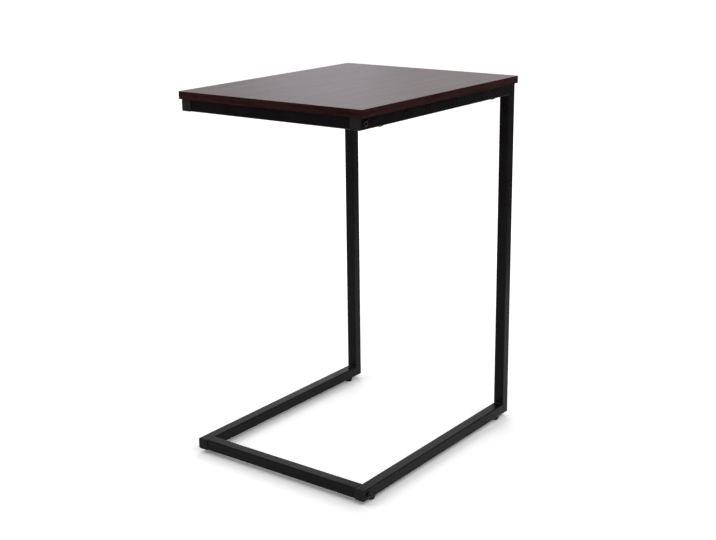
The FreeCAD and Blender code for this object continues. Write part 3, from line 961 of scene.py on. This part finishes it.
@dataclass
class Crossbar:
    """A tube between the side frames, with its plugs and the bolts into them."""

    level: Level
    centre_y: float = -223.5
    frame_side: float = 186.5
    head: float = 10.5
    head_height: float = 3.3
    rim: float = 0.9
    rim_bevel: float = 0.15
    land: float = 0.75            # flat ring of the crown, outside the socket's flats
    shank: float = 6.0
    shank_length: float = 32.0
    shank_bevel: float = 0.6
    hex_key: float = 4.0
    hex_depth: float = 2.0
    hex_cone: float = 0.5         # what the drill's point leaves under the socket
    mouth: tuple[float, float, float] = (0.35, 0.05, 0.15)    # out, down, share of hexagon
    mouth_depth: float = 0.3
    dome_steps: int = 8
    around: int = 60

    def bolt(self) -> Surface:
        """Turn a button head on its shank, and press a hexagon socket into its crown.

        The head's dome is a quarter ellipse from the rim to the crown. Each ring's
        radius is a blend of a circle and a hexagon: all circle outside, all hexagon in
        the socket, so the socket's mouth is a bevel between the two.

        Returns:
            One bolt along Z, with its head up and the seat of the head at 0.
        """
        half, shank, flat = self.head / 2.0, self.shank / 2.0, self.hex_key / 2.0
        crown, top, floor = flat + self.land, self.head_height, self.head_height - self.hex_depth
        out, down, blend = self.mouth
        dome = [(crown + (half - crown) * math.cos(a), self.rim + (top - self.rim) * math.sin(a),
                 0.0) for a in np.linspace(0.0, QUARTER_TURN, self.dome_steps + 1)]
        end = -self.shank_length
        rows = [(0.0, end, 0.0), (shank - self.shank_bevel, end, 0.0),
                (shank, end + self.shank_bevel, 0.0), (shank, 0.0, 0.0),
                (half - self.rim_bevel, 0.0, 0.0), (half, self.rim_bevel, 0.0), *dome,
                (flat + out, top - down, blend), (flat, top - self.mouth_depth, 1.0),
                (flat, floor, 1.0), (0.0, floor - self.hex_cone, 1.0)]
        radius, height, share = np.array(rows).T[..., None]
        angle = round_the_axis(self.around)
        hexagon = flats(2.0, 6, angle)    # radius 1 in the middle of each flat
        return turned(angle, (radius * (1.0 + share * (hexagon - 1.0)), height))

    def build(self, bench: Bench) -> None:
        """Dress the tube and its plugs and drive a bolt in from each side.

        Args:
            bench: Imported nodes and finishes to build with.
        """
        word = self.level.word
        bench.dress(f"{word}_crossbar", bench.finishes.coat)
        bench.dress(f"{word}_crossbar_plugs", bench.finishes.bright_zinc)
        bolts = []
        for side in Side:
            sign = side.value
            turn = np.array([[0.0, 0.0, sign], [0.0, 1.0, 0.0], [-sign, 0.0, 0.0]])
            spot = (sign * self.frame_side, self.centre_y, self.level.value)
            bolts.append(self.bolt().placed(spot, turn))
        bench.add(f"{word}_button_bolts", joined(bolts), bench.finishes.black_zinc,
                  "black_screws", "table", f"{word}_crossbar_bolts")


@dataclass
class BoardScrews:
    """The four wide-headed screws that hold the board on the top rails."""

    rail_x: float = RAIL_X
    from_middle: float = 170.5
    under: float = 625.0
    head: float = 13.0
    head_height: float = 3.6
    rim: float = 0.9
    shank: float = 4.0
    length: float = 30.0
    point_length: float = 3.0
    point_radius: float = 0.4
    recess_half: float = 2.7
    recess_wing: float = 0.7
    recess_depth: float = 1.8
    recess_wall: float = 0.36     # width of a wing's slanting wall
    recess_tip: float = 0.9       # length over which a wing's floor rises to its tip
    fine_rings: tuple[float, int] = (0.62, 26)      # last share of the radius, and count
    plain_rings: tuple[float, int] = (0.66, 8)      # first share of the radius, and count
    around: int = 96

    def screw(self) -> Surface:
        """Form a domed head with a cross recess, a shank and a point; the head looks down.

        The dome's height falls with the square of the radius. The cross takes away a
        depth that is whole within the wings, fades over their slanting walls, and is
        shallower towards the wings' tips, as a cross driver's point leaves it.

        Returns:
            One screw along Z, with the seat of its head at 0.
        """
        half, shank = self.head / 2.0, self.shank / 2.0
        (fine, fine_count), (plain, plain_count) = self.fine_rings, self.plain_rings
        share = np.r_[np.linspace(0.0, fine, fine_count),
                      np.linspace(plain, 1.0, plain_count)][:, None]
        angle = round_the_axis(self.around)
        dome = self.rim + (self.head_height - self.rim) * (1.0 - share ** 2)
        radius = share * half
        across, along = np.sort(np.abs([radius * np.cos(angle), radius * np.sin(angle)]), axis=0)
        wall = (self.recess_wing + self.recess_wall / 2.0 - across) / self.recess_wall
        tip = (self.recess_half - along) / self.recess_tip
        depth = self.recess_depth * np.minimum(np.clip(wall, 0.0, 1.0),
                                               np.clip(tip, 0.0, 1.0) ** 0.5)
        tail = np.array([(half, 0.0), (shank, 0.0), (shank, self.length - self.point_length),
                         (self.point_radius, self.length), (0.0, self.length)])
        return turned(angle, (radius, depth - dome), np.hsplit(tail, 2))

    def build(self, bench: Bench) -> None:
        """Drive the four screws up through the top rails.

        Args:
            bench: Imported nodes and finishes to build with.
        """
        screws = [self.screw().placed((side.value * self.rail_x, end.value * self.from_middle,
                                       self.under)) for side in Side for end in End]
        bench.add("domed_board_screws", joined(screws), bench.finishes.black_zinc,
                  "black_screws", "table", "tabletop_screws", sharp_degrees=40.0)


@dataclass
class LevellingFoot:
    """A levelling foot: a moulded pad on a threaded stud, in the base rail's insert nut."""

    end: End
    side: Side
    rail_x: float = RAIL_X
    from_middle: float = 203.5
    pad_bottom: float = 13.0
    pad_rim: float = 16.0
    pad_height: float = 7.0
    rim_height: float = 2.4
    rim_easing: float = 0.5
    pad_floor: float = 1.2
    floor_easing: float = 0.6
    floor_ring: float = 1.6       # from the floor edge to the ring that keeps the floor flat
    flare: float = 0.65           # share of the wall's widening that goes with its square
    across_flats: float = 15.0
    play: float = 0.05
    bore_chamfer: float = 0.2
    stud: float = 6.0
    pitch: float = 1.0
    thread_depth: float = 0.55
    stud_head: float = 9.0
    stud_head_bottom: float = 1.25
    stud_head_top: float = 3.25
    stud_tip: float = 24.0
    stud_point: float = 0.8
    easing_steps: int = 5
    wall_steps: int = 8
    pad_around: int = 72
    stud_around: int = 40
    rings_per_mm: int = 8

    @property
    def spot(self) -> tuple[float, float, float]:
        """Give the foot's centre on the floor."""
        return (self.side.value * self.rail_x, self.end.value * self.from_middle, 0.0)

    def pad(self) -> Surface:
        """Turn the pad: eased floor edge, flaring wall, spanner flats round an eased rim.

        With s from 0 to 1 up the wall, its radius grows by the flare's share of s squared
        and by s for the rest. Each flat cuts the radius down to the hexagon's.

        Returns:
            The pad's closed surface, in its place.
        """
        low, rim, top = self.pad_bottom / 2.0, self.pad_rim / 2.0, self.pad_height
        ease, edge, under = self.floor_easing, self.rim_easing, self.stud_head_top + self.play
        bore, recess = self.stud / 2.0 + self.play, self.stud_head / 2.0 + self.play
        wall = [(low + (rim - low) * ((1.0 - self.flare) * s + self.flare * s ** 2),
                 ease + (top - self.rim_height - ease) * s)
                for s in np.linspace(0.0, 1.0, self.wall_steps + 1)[1:]]
        radius, height = np.hsplit(np.array([
            (0.0, 0.0), (low - self.floor_ring, 0.0),
            *quarter((low - ease, ease), ease, -90.0, self.easing_steps), *wall,
            *quarter((rim - edge, top - edge), edge, 0.0, self.easing_steps),
            (bore + self.bore_chamfer, top), (bore, top - self.bore_chamfer), (bore, under),
            (recess, under), (recess, self.pad_floor), (0.0, self.pad_floor)]), 2)
        angle = round_the_axis(self.pad_around)
        cut = np.minimum(radius, flats(self.across_flats, 6, angle))
        return turned(angle, (cut, height)).placed(self.spot)

    def threaded_stud(self) -> Surface:
        """Cut a right-hand thread on the stud.

        At each height and angle the radius is the crest's less the thread's depth times
        a triangle wave of height over pitch minus angle over a full turn, so a crest
        climbs one pitch each turn. The depth fades out over the last turn at both ends,
        and the tip is drawn in by a cone of the point's height.

        Returns:
            The stud's closed surface, in its place.
        """
        start, stop, head = self.stud_head_top, self.stud_tip, self.stud_head / 2.0
        height = np.linspace(start, stop, int((stop - start) * self.rings_per_mm) + 1)[:, None]
        angle = round_the_axis(self.stud_around)
        phase = (height / self.pitch - angle / FULL_TURN) % 1.0
        groove = np.abs(2.0 * phase - 1.0)
        fade = np.clip(np.minimum(height - start, stop - height) / self.pitch, 0.0, 1.0)
        cone = self.stud_point
        point = np.clip((stop - height) / cone, 0.0, 1.0) * cone - cone
        reach = self.stud / 2.0 + point - self.thread_depth * groove * fade
        under = np.array([(0.0, self.stud_head_bottom), (head, self.stud_head_bottom),
                          (head, start)])
        tip = np.array([(0.0, stop)])
        return turned(angle, np.hsplit(under, 2), (reach, height),
                      np.hsplit(tip, 2)).placed(self.spot)

    def build(self, bench: Bench) -> None:
        """Make the pad and its stud in place of their plain nodes.

        Args:
            bench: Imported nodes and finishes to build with.
        """
        word = f"{self.end.word}_{self.side.word}"
        bench.add(f"{word}_threaded_stud", self.threaded_stud(), bench.finishes.bright_zinc,
                  "zinc_steel", f"{word}_stud", f"{word}_foot_stud")
        bench.add(f"{word}_moulded_pad", self.pad(), bench.finishes.pad, "pad_plastic",
                  f"{word}_pad", f"{word}_foot_pad")


@dataclass
class SideTable:
    """The whole table, sub-assembly by sub-assembly."""

    top: Tabletop = field(default_factory=Tabletop)
    screws: BoardScrews = field(default_factory=BoardScrews)

    def build(self, bench: Bench) -> None:
        """Build the board, the side frames, the crossbars and the feet, in order.

        Args:
            bench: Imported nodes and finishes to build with.
        """
        self.top.build(bench)
        for side in Side:
            SideFrame(side).build(bench)
        for level in Level:
            Crossbar(level).build(bench)
        self.screws.build(bench)
        bench.dress("foot_insert_nuts", bench.finishes.bright_zinc)
        for end in End:
            for side in Side:
                LevellingFoot(end, side).build(bench)


# ---- the studio --------------------------------------------------------------

def flat_sheet(name: str, corners: Sequence[Sequence[float]], material: Material) -> Object:
    """Make one four-cornered face of the studio.

    Args:
        name: Name of the sheet.
        corners: Its four corners in turn, in metres.
        material: What it is made of.

    Returns:
        The new object.
    """
    mesh = bpy.data.meshes.new(name)
    mesh.from_pydata(corners, [], [(0, 1, 2, 3)])
    mesh.materials.append(material)
    return in_scene(name, mesh)


@dataclass(frozen=True)
class SoftBox:
    """A square studio lamp.

    Attributes:
        name: Name of the lamp.
        place: Where it hangs, in metres.
        target: Point that it faces, in metres.
        size: Side of its square, in metres.
        level: Share of plain light that it adds at the target on a face turned to it.
        colour: Colour of its light, as an sRGB code.
    """

    name: str
    place: tuple[float, float, float]
    target: tuple[float, float, float]
    size: float
    level: float
    colour: str = "#ffffff"

    def hang(self) -> None:
        """Make the lamp.

        A lamp of P watts at d metres adds P / (pi d)^2 of plain light, so P is the level
        times (pi d)^2.
        """
        away = Vector(self.place) - Vector(self.target)
        lamp = bpy.data.lights.new(self.name, "AREA")
        lamp.shape, lamp.size = "SQUARE", self.size
        lamp.energy = self.level * (math.pi * away.length) ** 2
        lamp.color = linear_rgb(self.colour)[:3]
        holder = in_scene(self.name, lamp)
        holder.location = self.place
        holder.rotation_euler = away.to_track_quat("Z", "Y").to_euler()
        holder.visible_camera = False


@dataclass(frozen=True)
class BlackCard:
    """A black card that stands beside the set, as studios use to deepen black metal.

    Only mirrored rays meet it: it is unseen, takes no light and casts no shadow.

    Attributes:
        name: Name of the card.
        start: One end of its foot on the floor, in metres.
        end: The other end.
        height: Height of its upper edge, in metres.
        albedo: Share of light that its matt black gives back.
    """

    name: str
    start: tuple[float, float]
    end: tuple[float, float]
    height: float
    albedo: float = 0.02

    def stand(self) -> None:
        """Make the card."""
        material = bpy.data.materials.new("matt_black_card")
        tree = empty_tree(material)
        black = add_node(tree, "ShaderNodeBsdfDiffuse", {"Color": (*[self.albedo] * 3, 1.0)})
        add_node(tree, "ShaderNodeOutputMaterial", {"Surface": black.outputs["BSDF"]})
        card = flat_sheet(self.name, [(*self.start, 0.0), (*self.end, 0.0),
                                      (*self.end, self.height), (*self.start, self.height)],
                          material)
        card.visible_camera = False
        card.visible_diffuse = False
        card.visible_shadow = False


@dataclass
class Studio:
    """White studio: pale floor, soft light and the camera."""

    floor_half: float = 30.0
    sky: float = 0.65
    floor_albedo: float = 0.86
    floor_gain: float = 1.30
    far_glow: float = 0.17
    glow_from: float = 0.7        # metres from the middle where the glow starts
    glow_full: float = 2.2        # and where it is whole
    sensor_mm: float = 36.0
    clip_near: float = 0.05
    clip_far: float = 100.0
    focal_px: float = 1221.743
    width_px: float = 716.0
    height_px: float = 540.0
    centre_px: tuple[float, float] = (358.0, 258.0)
    place_mm: tuple[float, float, float] = (1275.102, -1703.312, 940.113)
    yaw: float = 36.73
    pitch: float = 15.70
    roll: float = -0.69
    lamps: tuple[SoftBox, ...] = (
        SoftBox("front_left_softbox", (-1.6, -1.9, 3.1), (0.0, 0.0, 0.1), 1.8, 0.08),
        SoftBox("right_softbox", (2.5, 0.2, 3.0), (0.0, 0.0, 0.1), 1.8, 0.18),
        SoftBox("rear_softbox", (-1.1, 2.3, 3.1), (0.0, 0.0, 0.1), 1.8, 0.16),
        SoftBox("far_softbox", (-2.3, 2.82, 1.2), (0.0, 0.0, 0.6), 0.6, 0.0098, "#e8e8ff"),
    )
    cards: tuple[BlackCard, ...] = (
        BlackCard("right_black_card", (0.65, 0.15), (0.65, 1.7), 0.65),
        BlackCard("front_black_card", (-1.6, -1.25), (-0.3, -1.25), 0.65),
    )

    def seen_rays(self, tree: NodeTree) -> NodeSocket:
        """Give 1 on rays that show the background, straight, mirrored or through glass.

        Args:
            tree: Node tree of the world or of a material.

        Returns:
            The socket that gives it.
        """
        path = add_node(tree, "ShaderNodeLightPath")
        seen = path.outputs["Is Camera Ray"]
        for kind in ("Is Glossy Ray", "Is Transmission Ray"):
            seen = add_node(tree, "ShaderNodeMath", {
                0: seen, 1: path.outputs[kind]}, operation="MAXIMUM").outputs[0]
        return seen

    def world(self) -> None:
        """Make the surroundings: white where they are seen, softer as a light."""
        world = bpy.data.worlds.new("white_studio")
        tree = empty_tree(world)
        strength = add_node(tree, "ShaderNodeMapRange", {
            "Value": self.seen_rays(tree), "To Min": self.sky, "To Max": 1.0})
        light = add_node(tree, "ShaderNodeBackground", {
            "Color": WHITE, "Strength": strength.outputs["Result"]})
        add_node(tree, "ShaderNodeOutputWorld", {"Surface": light.outputs["Background"]})
        bpy.context.scene.world = world

    def floor(self) -> None:
        """Lay the pale floor, which shows white and keeps the table's shadow.

        Where it is seen it is a little overexposed, so only the close shadows show.
        Further out, where the lamps fade, a glow that grows with the distance keeps it
        white. Its underside is clear, so the table can be looked at from below.
        """
        material = bpy.data.materials.new("white_paper_roll")
        tree = empty_tree(material)
        seen = self.seen_rays(tree)
        tone = add_node(tree, "ShaderNodeMapRange", {
            "Value": seen, "To Min": self.floor_albedo, "To Max": self.floor_gain})
        paper = add_node(tree, "ShaderNodeBsdfDiffuse", {"Color": tone.outputs["Result"]})
        place = add_node(tree, "ShaderNodeTexCoord").outputs["Object"]
        away = add_node(tree, "ShaderNodeVectorMath", {0: place}, operation="LENGTH")
        fill = add_node(tree, "ShaderNodeMapRange", {
            "Value": away.outputs["Value"], "From Min": self.glow_from,
            "From Max": self.glow_full, "To Min": 0.0, "To Max": self.far_glow},
            interpolation_type="SMOOTHSTEP")
        glow = add_node(tree, "ShaderNodeMath", {0: seen, 1: fill.outputs["Result"]},
                        operation="MULTIPLY")
        shine = add_node(tree, "ShaderNodeEmission", {"Color": WHITE, "Strength": glow.outputs[0]})
        lit = add_node(tree, "ShaderNodeAddShader", {
            0: paper.outputs["BSDF"], 1: shine.outputs["Emission"]})
        clear = add_node(tree, "ShaderNodeBsdfTransparent")
        under = add_node(tree, "ShaderNodeNewGeometry").outputs["Backfacing"]
        both = add_node(tree, "ShaderNodeMixShader", {
            0: under, 1: lit.outputs["Shader"], 2: clear.outputs["BSDF"]})
        add_node(tree, "ShaderNodeOutputMaterial", {"Surface": both.outputs["Shader"]})
        half = self.floor_half
        floor = flat_sheet("studio_floor", [(-half, -half, 0.0), (half, -half, 0.0),
                                            (half, half, 0.0), (-half, half, 0.0)], material)

    def camera(self) -> None:
        """Set up the camera: yaw from +Y towards -X, pitch below the horizon, then roll."""
        yaw, pitch, roll = (math.radians(a) for a in (self.yaw, self.pitch, self.roll))
        ahead = Vector((-math.sin(yaw) * math.cos(pitch), math.cos(yaw) * math.cos(pitch),
                        -math.sin(pitch)))
        right = Vector((math.cos(yaw), math.sin(yaw), 0.0))
        up = right.cross(ahead)
        across = right * math.cos(roll) + up * math.sin(roll)
        rise = up * math.cos(roll) - right * math.sin(roll)
        data = bpy.data.cameras.new("studio_camera")
        data.sensor_width = self.sensor_mm
        data.lens = self.focal_px * self.sensor_mm / self.width_px
        data.shift_x = (self.width_px / 2.0 - self.centre_px[0]) / self.width_px
        data.shift_y = (self.centre_px[1] - self.height_px / 2.0) / self.width_px
        data.clip_start, data.clip_end = self.clip_near, self.clip_far
        camera = in_scene("studio_camera", data)
        turn = Matrix((across, rise, -ahead)).transposed().to_4x4()
        camera.matrix_world = Matrix.Translation(Vector(self.place_mm) * MM) @ turn
        bpy.context.scene.camera = camera

    def build(self) -> None:
        """Set up the floor, the light, the camera and the plain view transform."""
        self.world()
        self.floor()
        for lamp in self.lamps:
            lamp.hang()
        for card in self.cards:
            card.stand()
        self.camera()
        bpy.context.scene.view_settings.view_transform = "Standard"


def main() -> None:
    """Load the frame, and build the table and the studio."""
    logging.basicConfig(level=logging.INFO, format="%(name)s: %(message)s")
    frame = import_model()
    bench = Bench(frame["nodes"], Finishes.made())
    SideTable().build(bench)
    Studio().build()


if __name__ == "__main__":
    main()
